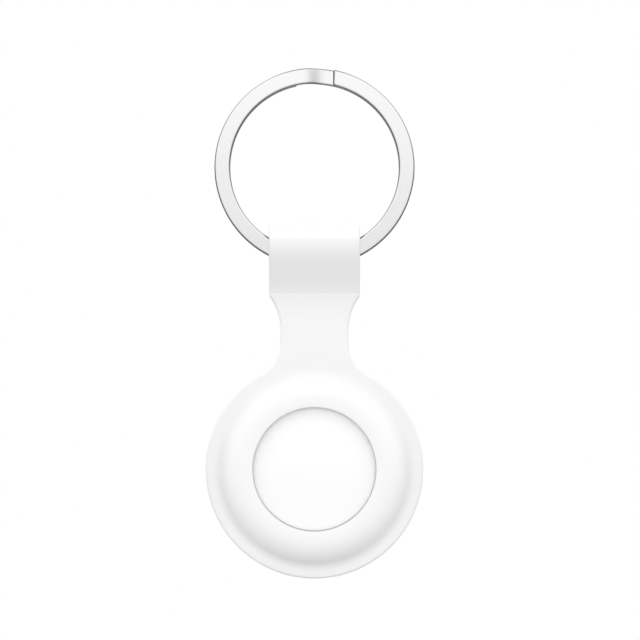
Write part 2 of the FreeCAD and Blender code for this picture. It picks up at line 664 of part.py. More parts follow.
TOUCH = "(cell_radius + cell_clearance / 8)"
SPRING_ROOT = "(%s + well_wall / 2)" % WELL_INNER
BOW_LOW = "(%s + well_height * 0.58)" % FLOOR_BACK
BOW_HIGH = "(%s + well_height * 0.68)" % FLOOR_BACK
SPRING_KNEE = "(%s + well_height * 0.2)" % FLOOR_BACK
SPRING_TOP = "(%s + well_height * 0.93)" % FLOOR_BACK
SPRING_FLARE = "(%s + cell_clearance)" % WELL_INNER
positive_contacts = new_body("positive_contacts", POCKET_HEIGHT)
spring_sketch = new_sketch(positive_contacts, "spring_section", "XY_Plane")
add_outline(spring_sketch, [
    (SPRING_ROOT, FLOOR_BACK),
    (SPRING_ROOT + " + contact_sheet", FLOOR_BACK),
    (SPRING_ROOT + " + contact_sheet", SPRING_KNEE),
    (TOUCH + " + contact_sheet", BOW_LOW),
    (TOUCH + " + contact_sheet", BOW_HIGH),
    (SPRING_FLARE + " + contact_sheet", SPRING_TOP),
    (SPRING_FLARE, SPRING_TOP),
    (TOUCH, BOW_HIGH),
    (TOUCH, BOW_LOW),
    (SPRING_ROOT, SPRING_KNEE),
])
repeat(positive_contacts, extrude(positive_contacts, "Pad", spring_sketch, "side_contact_width"), 2)

LEAF_TIP = "(%s - contact_sheet / 3)" % CELL_FRONT
negative_contact = new_body("negative_contact", POCKET_HEIGHT)
leaf_sketch = new_sketch(negative_contact, "leaf_section", "XY_Plane")
add_outline(leaf_sketch, [
    (LEAF_END, FLOOR_FRONT),
    (LEAF_END, FLOOR_FRONT + " + contact_sheet"),
    (LEAF_END + " - 0.33 * leaf_length", FLOOR_FRONT + " + contact_sheet"),
    (LEAF_END + " - 0.8 * leaf_length", LEAF_TIP),
    (LEAF_END + " - leaf_length", LEAF_TIP),
    (LEAF_END + " - leaf_length", LEAF_TIP + " - contact_sheet"),
    (LEAF_END + " - 0.82 * leaf_length", LEAF_TIP + " - contact_sheet"),
    (LEAF_END + " - 0.35 * leaf_length", FLOOR_FRONT),
])
extrude(negative_contact, "Pad", leaf_sketch, "leaf_width")

# Coin cell
# Steel can crimped round a gasket, the cap inside it and the pressed electrodes between them.

CELL_LOW = "(%s + cell_step)" % CELL_FRONT
CAN_INNER = "(cell_radius - can_sheet)"
CRIMP_INNER = "(%s - crimp_width)" % CAN_INNER
CAP_RADIUS = "(%s - gasket_width)" % CRIMP_INNER
CAP_TOP = "(%s + 0.65 * cell_thickness)" % CELL_LOW
cell_can = new_body("cell_can", POCKET_HEIGHT)
can_sketch = new_sketch(cell_can, "can_section", "XY_Plane")
add_outline(can_sketch, [
    ("0", CELL_BACK + " - can_sheet"),
    (CAN_INNER, CELL_BACK + " - can_sheet"),
    (CAN_INNER, CELL_LOW + " + can_sheet"),
    (CRIMP_INNER, CELL_LOW + " + can_sheet"),
    (CRIMP_INNER, CELL_LOW),
    ("cell_radius - can_edge", CELL_LOW),
    ("cell_radius", CELL_LOW + " + can_edge", "can_edge", "left"),
    ("cell_radius", CELL_BACK + " - can_edge"),
    ("cell_radius - can_edge", CELL_BACK, "can_edge", "left"),
    ("0", CELL_BACK),
])
turn(cell_can, "Revolution", can_sketch)
cell_gasket = new_body("cell_gasket", POCKET_HEIGHT)
gasket_sketch = new_sketch(cell_gasket, "gasket_section", "XY_Plane")
add_outline(gasket_sketch, [
    (CAP_RADIUS, CELL_LOW),
    (CRIMP_INNER, CELL_LOW),
    (CRIMP_INNER, CELL_LOW + " + can_sheet"),
    (CAN_INNER, CELL_LOW + " + can_sheet"),
    (CAN_INNER, CAP_TOP),
    (CAP_RADIUS, CAP_TOP),
])
turn(cell_gasket, "Revolution", gasket_sketch)
cell_cap = new_body("cell_cap", POCKET_HEIGHT)
cap_sketch = new_sketch(cell_cap, "cap_section", "XY_Plane")
add_outline(cap_sketch, [
    ("0", CELL_FRONT),
    (CAP_RADIUS + " - cell_step", CELL_FRONT),
    (CAP_RADIUS, CELL_LOW, "cell_step", "left"),
    (CAP_RADIUS, CAP_TOP),
    (CAP_RADIUS + " - can_sheet", CAP_TOP),
    (CAP_RADIUS + " - can_sheet", CELL_FRONT + " + can_sheet"),
    ("0", CELL_FRONT + " + can_sheet"),
])
turn(cell_cap, "Revolution", cap_sketch)
cell_stack = new_body("cell_stack", POCKET_HEIGHT)
stack_sketch = new_sketch(cell_stack, "stack_section", "XY_Plane")
add_outline(stack_sketch, [
    ("0", CELL_FRONT + " + can_sheet"),
    (CAP_RADIUS + " - can_sheet", CELL_FRONT + " + can_sheet"),
    (CAP_RADIUS + " - can_sheet", CAP_TOP),
    (CAN_INNER, CAP_TOP),
    (CAN_INNER, CELL_BACK + " - can_sheet"),
    ("0", CELL_BACK + " - can_sheet"),
])
turn(cell_stack, "Revolution", stack_sketch)

# Battery door
# Polished steel dish with a turned-down rim. A plastic ring bonded inside it has three tabs that
# pass under the chassis ledges, and a rubber seal lies on the skirt under the rim.

DOOR_CENTRE = "(%s - %s)" % (HALF_TAG, DOOR_ROUND)
RIM_BEND = "(%s - door_edge)" % DOOR_ROUND
RIM_BEND_Y = "sqrt(%s ^ 2 - (%s - door_edge) ^ 2)" % (RIM_BEND, DOOR_RADIUS)
DOOR_INNER = "(%s - door_thickness)" % DOOR_ROUND
door_plate = new_body("door_plate", POCKET_HEIGHT)
door_sketch = new_sketch(door_plate, "door_section", "XY_Plane")
add_outline(door_sketch, [
    ("0", HALF_TAG + " - door_thickness"),
    (DOOR_RADIUS + " - door_thickness",
     "%s + sqrt(%s ^ 2 - (%s - door_thickness) ^ 2)" % (DOOR_CENTRE, DOOR_INNER, DOOR_RADIUS), DOOR_INNER, "right"),
    (DOOR_RADIUS + " - door_thickness", HEEL_Y + " - door_skirt"),
    (DOOR_RADIUS, HEEL_Y + " - door_skirt"),
    (DOOR_RADIUS, "%s + %s" % (DOOR_CENTRE, RIM_BEND_Y)),
    ("(%s - door_edge) * %s / %s" % (DOOR_RADIUS, DOOR_ROUND, RIM_BEND),
     "%s + %s * %s / %s" % (DOOR_CENTRE, RIM_BEND_Y, DOOR_ROUND, RIM_BEND), "door_edge", "left"),
    ("0", HALF_TAG, DOOR_ROUND, "left"),
])
turn(door_plate, "Revolution", door_sketch)
RING_TOP = "(%s + sqrt(%s ^ 2 - %s ^ 2) - contact_sheet / 8)" % (DOOR_CENTRE, DOOR_INNER, BAYONET_OUTER)
door_bayonet = turned_ring("door_bayonet", BAYONET_INNER, BAYONET_OUTER, TAB_LOW, RING_TOP)
tab_sketch = new_sketch(door_bayonet, "tab_section", "XY_Plane")
add_ring(tab_sketch, BAYONET_OUTER + " - bayonet_wall / 4", SKIRT_INNER + " - ledge_play", TAB_LOW, TAB_HIGH)
repeat(door_bayonet, turn(door_bayonet, "Revolution", tab_sketch, "tab_angle", True), 3)
SEAL_INNER = "(%s + ledge_play / 2)" % SKIRT_INNER
door_seal = turned_ring("door_seal", SEAL_INNER, SEAL_INNER + " + seal_width",
                        SKIRT_TOP, SKIRT_TOP + " + seal_height")

# Check and export

pieces = [key_ring, holder, tag_cover, voice_coil, speaker_magnet, circuit_board, board_chips, board_passives,
          antenna_frame, antenna_traces, inner_chassis, positive_contacts, negative_contact, cell_can,
          cell_gasket, cell_cap, cell_stack, door_plate, door_bayonet, door_seal]
doc.recompute()
for item in doc.Objects:
    if "Invalid" in item.State or "Error" in item.State:
        raise RuntimeError("%s did not build" % item.Label)
    if hasattr(item, "Shape") and item.TypeId.startswith("PartDesign::"):
        if item.Shape.isNull() or not item.Shape.isValid() or not item.Shape.Solids:
            raise RuntimeError("%s has no sound shape" % item.Label)
for piece in pieces:
    piece.Shape.exportStep("parts/%s.step" % piece.Label)
    print(piece.Label, len(piece.Shape.Solids), "solids", round(piece.Shape.Volume, 2), "mm3")
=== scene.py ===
import math

import bmesh
import bpy
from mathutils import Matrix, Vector


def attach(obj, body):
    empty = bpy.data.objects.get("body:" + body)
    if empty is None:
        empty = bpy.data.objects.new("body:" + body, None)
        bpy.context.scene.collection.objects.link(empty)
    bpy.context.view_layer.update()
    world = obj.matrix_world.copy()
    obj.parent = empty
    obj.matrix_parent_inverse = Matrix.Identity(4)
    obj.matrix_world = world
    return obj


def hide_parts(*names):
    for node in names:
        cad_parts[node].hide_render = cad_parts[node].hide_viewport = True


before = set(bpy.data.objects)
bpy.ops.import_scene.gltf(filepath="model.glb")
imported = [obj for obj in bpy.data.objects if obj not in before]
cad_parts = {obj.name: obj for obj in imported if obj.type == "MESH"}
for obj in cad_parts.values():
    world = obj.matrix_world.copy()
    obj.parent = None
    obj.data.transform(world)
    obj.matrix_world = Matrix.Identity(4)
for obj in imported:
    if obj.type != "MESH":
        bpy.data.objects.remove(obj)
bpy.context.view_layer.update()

# Tag cover
# The white front half of the coin tracker: a gently crowned shell, injection moulded in
# polycarbonate with a high gloss. It sits in the holder's pocket and shows through the front window.

TAG_HEIGHT = -0.05764
TAG_EQUATOR = 0.000474
CROWN_MIDDLE = 0.091
CROWN_ROUND = 0.095
CROWN_INSIDE = 0.094
CROWN_RINGS = (0.0, 0.0004, 0.0012, 0.0025, 0.004, 0.006, 0.008, 0.010, 0.0115, 0.0123)
SHOULDER_OUT = 0.01231
SHOULDER_ROUND = 0.00364
SHOULDER_TURN = math.radians(-82.26)
HEEL_OUT = 0.01335
HEEL_ROUND = 0.0026
HEEL_TURN = math.radians(75.52)
INSIDE_CORNER = (0.012432, -0.000579)
INSIDE_ROUND = 0.0016
INSIDE_START = math.radians(-11.5)
INSIDE_STOP = math.radians(-91.1)
WELD = 0.000001
COVER_WHITE = (0.985, 0.985, 0.985, 1)
COVER_SHADE = (0.975, 0.976, 0.977, 1)
COVER_CLOUD = 0.007
COVER_ROUGH = (0.14, 0.19)
COVER_PEEL = 0.0012
COVER_PEEL_DEPTH = 0.000003
COVER_RUBS = ((1.0, 1.0, 0.03), 0.004, 0.006)
COVER_RUB_PATCH = 0.004
COVER_RUB_SPREAD = (0.5, 0.7)
COVER_RUB_ROUGH = 0.16
COVER_RUB_DEPTH = 0.4


class Shade:
    """One output socket of a node tree. Sums on it add Math nodes, and node() adds any other node."""

    def __init__(self, tree, socket=None):
        self.tree = tree
        self.socket = socket

    def node(self, kind, settings=(), sockets=(), output=0):
        """Add a node: its settings are made first, then the values or links of its sockets."""
        node = self.tree.nodes.new("ShaderNode" + kind)
        for name, setting in dict(settings).items():
            setattr(node, name, setting)
        for name, given in dict(sockets).items():
            if isinstance(given, Shade):
                self.tree.links.new(given.socket, node.inputs[name])
            else:
                node.inputs[name].default_value = given
        return Shade(self.tree, node.outputs[output])

    def also(self, output):
        """Another output of the same node."""
        return Shade(self.tree, self.socket.node.outputs[output])

    def math(self, operation, *values):
        """A Math node on these values."""
        return self.node("Math", {"operation": operation}, enumerate(values))

    def __add__(self, other):
        return self.math("ADD", self, other)

    __radd__ = __add__

    def __sub__(self, other):
        return self.math("SUBTRACT", self, other)

    def __rsub__(self, other):
        return self.math("SUBTRACT", other, self)

    def __mul__(self, other):
        return self.math("MULTIPLY", self, other)

    __rmul__ = __mul__

    def __truediv__(self, other):
        return self.math("DIVIDE", self, other)

    def __abs__(self):
        return self.math("ABSOLUTE", self)

    def ease(self, low, high):
        """0 up to the low value, 1 from the high value on, and smooth between."""
        return self.node("MapRange", {"interpolation_type": "SMOOTHSTEP"},
                         {"Value": self, "From Min": low, "From Max": high})

    def between(self, first, second):
        """The first number where this value is 0, the second where it is 1."""
        return first + (second - first) * self

    def tint(self, first, second):
        """The first colour where this value is 0, the second where it is 1."""
        return self.node("Mix", {"data_type": "RGBA"}, {0: self, 6: first, 7: second}, output=2)

    def paint(self, colour, rough, relief, depth):
        """Feed the material's shader: colour, roughness, and relief of this depth in metres."""
        bump = self.node("Bump", sockets={"Strength": 1.0, "Distance": depth, "Height": relief})
        shader = self.tree.nodes["Principled BSDF"]
        for name, shade in (("Base Color", colour), ("Roughness", rough), ("Normal", bump)):
            self.tree.links.new(shade.socket, shader.inputs[name])


def new_finish(name, constants):
    """A material whose fixed values are set on its shader, and the place on the piece in metres."""
    material = bpy.data.materials.new(name)
    material.use_nodes = True
    for socket, constant in constants.items():
        material.node_tree.nodes["Principled BSDF"].inputs[socket].default_value = constant
    return material, Shade(material.node_tree).node("TexCoord", output="Object")


def grain(place, size, detail=2.0):
    """Cloudy noise from 0 to 1, with lumps of this size in metres."""
    return place.node("TexNoise", sockets={"Vector": place, "Scale": 1 / size, "Detail": detail})


def drawn_out(place, along):
    """The place scaled along each axis, so that grain on it runs one way."""
    return place.node("VectorMath", {"operation": "MULTIPLY"}, {0: place, 1: along})


def hairlines(place, along, apart, share):
    """Long fine lines, 1 on the line and 0 beside it: which way they run, how far apart, how broad."""
    line = grain(drawn_out(place, along), apart) - 0.5
    return 1 - abs(line).ease(0, share)


def bend(centre, radius, start, stop, steps):
    """Points along an arc, each with its outward direction. A negative radius bends inwards."""
    angles = [start + (stop - start) * step / steps for step in range(steps + 1)]
    turned = math.copysign(1, radius)
    return [((centre[0] + abs(radius) * math.cos(angle), centre[1] + abs(radius) * math.sin(angle)),
             (turned * math.cos(angle), turned * math.sin(angle))) for angle in angles]


def sunk(line, depth):
    """The points of a line moved in from the surface by this depth."""
    return [(point[0] - depth * way[0], point[1] - depth * way[1]) for point, way in line]


def lay(form, rows):
    """Join rows of points, given from the middle of the pocket, into a sheet of four-sided faces."""
    sheet = [[form.verts.new((x, y, z + TAG_HEIGHT)) for x, y, z in row] for row in rows]
    for near, far in zip(sheet, sheet[1:]):
        for here in range(len(near) - 1):
            form.faces.new((near[here], near[here + 1], far[here + 1], far[here]))


def turn_about(form, section, angles):
    """Turn a section, given as distance out and depth, about the axis of the tag."""
    lay(form, [[(out * math.sin(angle), depth, out * math.cos(angle)) for out, depth in section]
               for angle in angles])


def set_out(form, name, materials, node, body):
    """Close the sheets of a form into one smooth piece that stands for a CAD node."""
    bmesh.ops.remove_doubles(form, verts=form.verts, dist=WELD)
    bmesh.ops.recalc_face_normals(form, faces=form.faces)
    for face in form.faces:
        face.smooth = True
    mesh = bpy.data.meshes.new(name)
    form.to_mesh(mesh)
    form.free()
    for material in materials:
        mesh.materials.append(material)
    piece = bpy.data.objects.new(name, mesh)
    bpy.context.scene.collection.objects.link(piece)
    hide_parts(node)
    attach(piece, body)


cover_gloss, place = new_finish("cover_gloss", {"IOR": 1.58})
cloud = grain(place, COVER_CLOUD)
rubs = hairlines(place, *COVER_RUBS) * grain(place, COVER_RUB_PATCH).ease(*COVER_RUB_SPREAD)
place.paint(cloud.tint(COVER_WHITE, COVER_SHADE),
            cloud.between(*COVER_ROUGH) + COVER_RUB_ROUGH * rubs,
            grain(place, COVER_PEEL, detail=1.0) - COVER_RUB_DEPTH * rubs, COVER_PEEL_DEPTH)

# section of the shell, from the middle of the crown out round the shoulder and heel, then back inside
section = [(out, CROWN_MIDDLE - math.sqrt(CROWN_ROUND ** 2 - out ** 2)) for out in CROWN_RINGS]
section += sunk(bend((SHOULDER_OUT, TAG_EQUATOR), SHOULDER_ROUND, SHOULDER_TURN, 0, 12), 0)
section += sunk(bend((HEEL_OUT, TAG_EQUATOR), HEEL_ROUND, 0, HEEL_TURN, 8), 0)[1:]
section += sunk(bend(INSIDE_CORNER, -INSIDE_ROUND, INSIDE_START, INSIDE_STOP, 6), 0)
section += [(out, CROWN_MIDDLE - math.sqrt(CROWN_INSIDE ** 2 - out ** 2)) for out in reversed(CROWN_RINGS)]
full_turn = [math.radians(3 * step) for step in range(121)]
cover_form = bmesh.new()
turn_about(cover_form, section, full_turn)
set_out(cover_form, "cover_shell", [cover_gloss], "tag_cover", "tag")

# Sounder
# A coil of enamelled copper wire glued behind the crown, and a nickel plated magnet disc inside
# it on the chassis. Together they drive the cover as a speaker.

WIRE_PITCH = 0.00009
WIRE_RELIEF = 0.00001
COPPER = (0.78, 0.40, 0.23, 1)
COPPER_DARK = (0.52, 0.22, 0.11, 1)
COPPER_CLOUD = 0.0004
COPPER_ROUGH = (0.25, 0.35)
NICKEL = (0.75, 0.74, 0.72, 1)
NICKEL_DARK = (0.60, 0.59, 0.57, 1)
NICKEL_SPECKLE = 0.00012
NICKEL_ROUGH = (0.22, 0.37)
NICKEL_RELIEF = 0.000003
STREAK_REACH = 0.015
STREAK_LEAN = 1.7


def about_axis(place, height):
    """Distance from the Y axis at this height, the depth along it, and the direction round it."""
    x = place.node("SeparateXYZ", sockets={0: place}, output="X")
    rise = x.also("Z") - height
    radius = x.math("SQRT", x * x + rise * rise)
    return radius, x.also("Y"), x / radius, rise / radius


def turned_grain(place, height, length, pitch):
    """Streaks that run round the Y axis, this long at STREAK_REACH from it and this far apart."""
    radius, depth, across, up = about_axis(place, height)
    turns = STREAK_REACH / length
    unrolled = place.node("CombineXYZ", sockets={
        "X": across * turns, "Y": up * turns, "Z": (radius + STREAK_LEAN * depth) / pitch})
    return place.node("TexNoise", sockets={"Vector": unrolled, "Scale": 1.0, "Detail": 2.0})


def dress(node, material):
    """Give a CAD node its finished material."""
    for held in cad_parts[node].material_slots:
        held.material = material


# the wires are two crossed waves, whose sum from -2 to 2 is brought to 0 to 1 for the colour
enamelled_copper, place = new_finish("enamelled_copper", {"Metallic": 1.0, "Coat Weight": 0.5})
radius, depth = about_axis(place, TAG_HEIGHT)[:2]
wires = radius * (2 * math.pi / WIRE_PITCH)
layers = depth * (2 * math.pi / WIRE_PITCH)
winding = wires.math("SINE", wires) + layers.math("SINE", layers)
place.paint((0.5 + 0.25 * winding).tint(COPPER_DARK, COPPER),
            grain(place, COPPER_CLOUD).between(*COPPER_ROUGH), winding, WIRE_RELIEF)
dress("voice_coil", enamelled_copper)

magnet_nickel, place = new_finish("magnet_nickel", {"Metallic": 1.0})
speckle = grain(place, NICKEL_SPECKLE, detail=4.0)
place.paint(speckle.tint(NICKEL_DARK, NICKEL), speckle.between(*NICKEL_ROUGH), speckle, NICKEL_RELIEF)
dress("speaker_magnet", magnet_nickel)

# Circuit board
# A ring of glass laminate under green solder mask, with copper tracks faint beneath it. The
# black moulded chips and the small ceramic parts are soldered on its front.

MASK_GREEN = (0.030, 0.115, 0.062, 1)
MASK_EDGE = (0.4, 0.6)
TRACK_GREEN = (0.060, 0.190, 0.105, 1)
LAMINATE = (0.42, 0.36, 0.22, 1)
UPRIGHT_TRACKS = ((1.0, 1.0, 0.15), 0.0009, 0.05)
LEVEL_TRACKS = ((0.15, 1.0, 1.0), 0.0009, 0.05)
WEAVE = 0.0006
WEAVE_RUN = (1.0, 6.0, 1.0)
WEAVE_ROUGH = 0.08
WEAVE_DEPTH = 0.3
BOARD_ROUGH = (0.55, 0.35)
BOARD_RELIEF = 0.00001
CHIP_BLACK = (0.030, 0.030, 0.033, 1)
CHIP_GREY = (0.060, 0.060, 0.064, 1)
CHIP_SPECKLE = 0.00006
CHIP_ROUGH = (0.55, 0.75)
CHIP_RELIEF = 0.000004
CERAMIC = (0.42, 0.33, 0.24, 1)
CERAMIC_PALE = (0.58, 0.49, 0.38, 1)
CERAMIC_SPECKLE = 0.00008
CERAMIC_ROUGH = (0.40, 0.65)
CERAMIC_RELIEF = 0.000003


def facing(place, axis):
    """How far the surface turns towards one axis, 0 to 1, on the piece's own form."""
    normal = place.node("TexCoord", output="Normal")
    return abs(place.node("SeparateXYZ", sockets={0: normal}, output=axis))


solder_mask, place = new_finish("solder_mask", {"Coat Weight": 0.4, "Coat Roughness": 0.2})
upright_tracks = hairlines(place, *UPRIGHT_TRACKS)
tracks = upright_tracks.math("MAXIMUM", upright_tracks, hairlines(place, *LEVEL_TRACKS))
mask_face = facing(place, "Y").ease(*MASK_EDGE)
weave = grain(drawn_out(place, WEAVE_RUN), WEAVE)
place.paint(mask_face.tint(LAMINATE, tracks.tint(MASK_GREEN, TRACK_GREEN)),
            mask_face.between(*BOARD_ROUGH) + WEAVE_ROUGH * weave,
            tracks + WEAVE_DEPTH * weave, BOARD_RELIEF)
dress("circuit_board", solder_mask)

chip_epoxy, place = new_finish("chip_epoxy", {"IOR": 1.5})
speckle = grain(place, CHIP_SPECKLE, detail=3.0)
place.paint(speckle.tint(CHIP_BLACK, CHIP_GREY), speckle.between(*CHIP_ROUGH), speckle, CHIP_RELIEF)
dress("board_chips", chip_epoxy)

passive_ceramic, place = new_finish("passive_ceramic", {"IOR": 1.6})
speckle = grain(place, CERAMIC_SPECKLE, detail=3.0)
place.paint(speckle.tint(CERAMIC, CERAMIC_PALE), speckle.between(*CERAMIC_ROUGH), speckle, CERAMIC_RELIEF)
dress("board_passives", passive_ceramic)

# Aerials
# A black moulded ring round the board carries three plated copper arcs, the aerials for the
# two radios and the short range reader.

FRAME_BLACK = (0.085, 0.085, 0.088, 1)
FRAME_GREY = (0.14, 0.14, 0.142, 1)
FRAME_FLOW = (0.006, 0.0003)
FRAME_ROUGH = (0.45, 0.65)
FRAME_GRAIN = 0.0001
FRAME_RELIEF = 0.000004
PLATED = (0.83, 0.60, 0.33, 1)
PLATED_DARK = (0.66, 0.45, 0.24, 1)
PLATED_STREAKS = (0.004, 0.00008)
PLATED_ROUGH = (0.22, 0.42)
PLATED_RELIEF = 0.000002

aerial_moulding, place = new_finish("aerial_moulding", {"IOR": 1.5})
flow = turned_grain(place, TAG_HEIGHT, *FRAME_FLOW)
place.paint(flow.tint(FRAME_BLACK, FRAME_GREY), flow.between(*FRAME_ROUGH),
            grain(place, FRAME_GRAIN), FRAME_RELIEF)
dress("antenna_frame", aerial_moulding)

aerial_plating, place = new_finish("aerial_plating", {"Metallic": 1.0})
streaks = turned_grain(place, TAG_HEIGHT, *PLATED_STREAKS)
place.paint(streaks.tint(PLATED_DARK, PLATED), streaks.between(*PLATED_ROUGH), streaks, PLATED_RELIEF)
dress("antenna_traces", aerial_plating)

# Inner chassis
# Floor, battery well and skirt in one white nylon moulding, bonded into the cover. The glass
# fibre in the nylon leaves a fine dry grain.

CHASSIS_WHITE = (0.86, 0.86, 0.85, 1)
CHASSIS_SHADE = (0.80, 0.80, 0.785, 1)
CHASSIS_CLOUD = 0.004
FIBRE = 0.00015
FIBRE_RUN = (1.0, 1.0, 0.25)
FIBRE_ROUGH = (0.48, 0.66)
FIBRE_RELIEF = 0.000006

chassis_nylon, place = new_finish("chassis_nylon", {"IOR": 1.53})
cloud = grain(place, CHASSIS_CLOUD)
fibre = grain(drawn_out(place, FIBRE_RUN), FIBRE, detail=3.0)
place.paint(cloud.tint(CHASSIS_WHITE, CHASSIS_SHADE), fibre.between(*FIBRE_ROUGH), fibre, FIBRE_RELIEF)
dress("inner_chassis", chassis_nylon)

# Battery contacts
# Two bowed side springs and one leaf, stamped from plated spring strip. They press on the can
# and on the cap of the cell.

SPRING_BRIGHT = (0.74, 0.71, 0.65, 1)
SPRING_DULL = (0.58, 0.55, 0.49, 1)
SPRING_GRAIN = 0.00008
SPRING_RUN = (0.12, 0.12, 1.0)
SPRING_ROUGH = (0.24, 0.44)
SPRING_RELIEF = 0.000003

spring_plating, place = new_finish("spring_plating", {"Metallic": 1.0})
rolled = grain(drawn_out(place, SPRING_RUN), SPRING_GRAIN)
place.paint(rolled.tint(SPRING_DULL, SPRING_BRIGHT), rolled.between(*SPRING_ROUGH), rolled, SPRING_RELIEF)
dress("positive_contacts", spring_plating)
dress("negative_contact", spring_plating)

# Coin cell
# A nickel plated steel can crimped over a dark plastic gasket and a steel cap, with the pressed
# electrodes between them. It drops into the well from the back.

CELL_BRIGHT = (0.76, 0.76, 0.75, 1)
CELL_DULL = (0.62, 0.62, 0.61, 1)
CELL_BRUSH = (0.008, 0.00007)
CELL_ROUGH = (0.26, 0.42)
CELL_RELIEF = 0.000003
GASKET_GREY = (0.22, 0.22, 0.24, 1)
GASKET_PALE = (0.30, 0.30, 0.32, 1)
GASKET_FLOW = (0.005, 0.0002)
GASKET_ROUGH = (0.42, 0.57)
GASKET_RELIEF = 0.000003
POWDER_BLACK = (0.060, 0.060, 0.066, 1)
POWDER_GREY = (0.16, 0.16, 0.17, 1)
POWDER_GRAIN = 0.00009
POWDER_ROUGH = (0.75, 0.90)
POWDER_RELIEF = 0.00001

cell_nickel, place = new_finish("cell_nickel", {"Metallic": 1.0})
brushed = turned_grain(place, TAG_HEIGHT, *CELL_BRUSH)
place.paint(brushed.tint(CELL_DULL, CELL_BRIGHT), brushed.between(*CELL_ROUGH), brushed, CELL_RELIEF)
dress("cell_can", cell_nickel)
dress("cell_cap", cell_nickel)

gasket_plastic, place = new_finish("gasket_plastic", {"IOR": 1.49})
flow = turned_grain(place, TAG_HEIGHT, *GASKET_FLOW)
place.paint(flow.tint(GASKET_GREY, GASKET_PALE), flow.between(*GASKET_ROUGH), flow, GASKET_RELIEF)
dress("cell_gasket", gasket_plastic)

pressed_powder, place = new_finish("pressed_powder", {"IOR": 1.5})
granules = grain(place, POWDER_GRAIN, detail=4.0)
place.paint(granules.tint(POWDER_BLACK, POWDER_GREY), granules.between(*POWDER_ROUGH),
            granules, POWDER_RELIEF)
dress("cell_stack", pressed_powder)

# Battery door
# A polished stainless dish with a turned-down rim, which shows through the back window. A white
# nylon ring bonded inside it has the three bayonet tabs, and a black rubber seal lies under it.

DOOR_ROUND = 0.095562
DOOR_MIDDLE = -0.091562
DOOR_DISH = 0.013
DOOR_RIM = 0.01385
DOOR_RIM_ROUND = 0.0004
DOOR_RIM_DEPTH = 0.002645
DOOR_RIM_TURN = math.radians(81.9)
DOOR_SHEET = 0.0003
DOOR_SKIRT = 0.002241
DOOR_INSIDE = 0.002731
BESIDE = 0.0001
DOOR_BRIGHT = (0.80, 0.80, 0.80, 1)
DOOR_DULL = (0.70, 0.70, 0.705, 1)
DOOR_ROUGH = (0.10, 0.16)
DOOR_RELIEF = 0.000002
DOOR_SPUN = (0.02, 0.00012)
DOOR_SPUN_TINT = 0.6
DOOR_RUBS = ((1.0, 1.0, 0.05), 0.003, 0.008)
DOOR_CROSS_RUBS = ((0.07, 1.0, 0.9), 0.0035, 0.006)
DOOR_RUB_PATCH = 0.005
DOOR_RUB_SPREAD = (0.45, 0.65)
DOOR_RUB_TINT = 0.4
DOOR_RUB_ROUGH = 0.18
DOOR_RUB_DEPTH = 0.5
SEAL_BLACK = (0.030, 0.030, 0.032, 1)
SEAL_BLOOM = (0.075, 0.075, 0.078, 1)
SEAL_CLOUD = 0.0007
SEAL_ROUGH = (0.60, 0.80)
SEAL_GRAIN = 0.00012
SEAL_RELIEF = 0.000008

door_polish, place = new_finish("door_polish", {"Metallic": 1.0})
spun = turned_grain(place, TAG_HEIGHT, *DOOR_SPUN)
rubs = hairlines(place, *DOOR_RUBS)
rubs = rubs.math("MAXIMUM", rubs, hairlines(place, *DOOR_CROSS_RUBS))
rubs = rubs * grain(place, DOOR_RUB_PATCH).ease(*DOOR_RUB_SPREAD)
place.paint((DOOR_SPUN_TINT * spun + DOOR_RUB_TINT * rubs).tint(DOOR_BRIGHT, DOOR_DULL),
            spun.between(*DOOR_ROUGH) + DOOR_RUB_ROUGH * rubs,
            spun - DOOR_RUB_DEPTH * rubs, DOOR_RELIEF)
dress("door_bayonet", chassis_nylon)

# section of the dish, from its middle out to the rounded rim, down the skirt and back inside
section = [(out, DOOR_MIDDLE + math.sqrt(DOOR_ROUND ** 2 - out ** 2)) for out in CROWN_RINGS + (DOOR_DISH,)]
section += sunk(bend((DOOR_RIM - DOOR_RIM_ROUND, DOOR_RIM_DEPTH), DOOR_RIM_ROUND, DOOR_RIM_TURN, 0, 6), 0)
section += [(DOOR_RIM, DOOR_SKIRT + BESIDE), (DOOR_RIM, DOOR_SKIRT)]
section += [(DOOR_RIM - DOOR_SHEET, DOOR_SKIRT), (DOOR_RIM - DOOR_SHEET, DOOR_INSIDE)]
section += [(out, DOOR_MIDDLE + math.sqrt((DOOR_ROUND - DOOR_SHEET) ** 2 - out ** 2))
            for out in reversed(CROWN_RINGS)]
door_form = bmesh.new()
turn_about(door_form, section, full_turn)
set_out(door_form, "door_dish", [door_polish], "door_plate", "door")

seal_rubber, place = new_finish("seal_rubber", {"IOR": 1.5})
bloom = grain(place, SEAL_CLOUD, detail=4.0)
place.paint(bloom.tint(SEAL_BLACK, SEAL_BLOOM), bloom.between(*SEAL_ROUGH),
            grain(place, SEAL_GRAIN), SEAL_RELIEF)
dress("door_seal", seal_rubber)
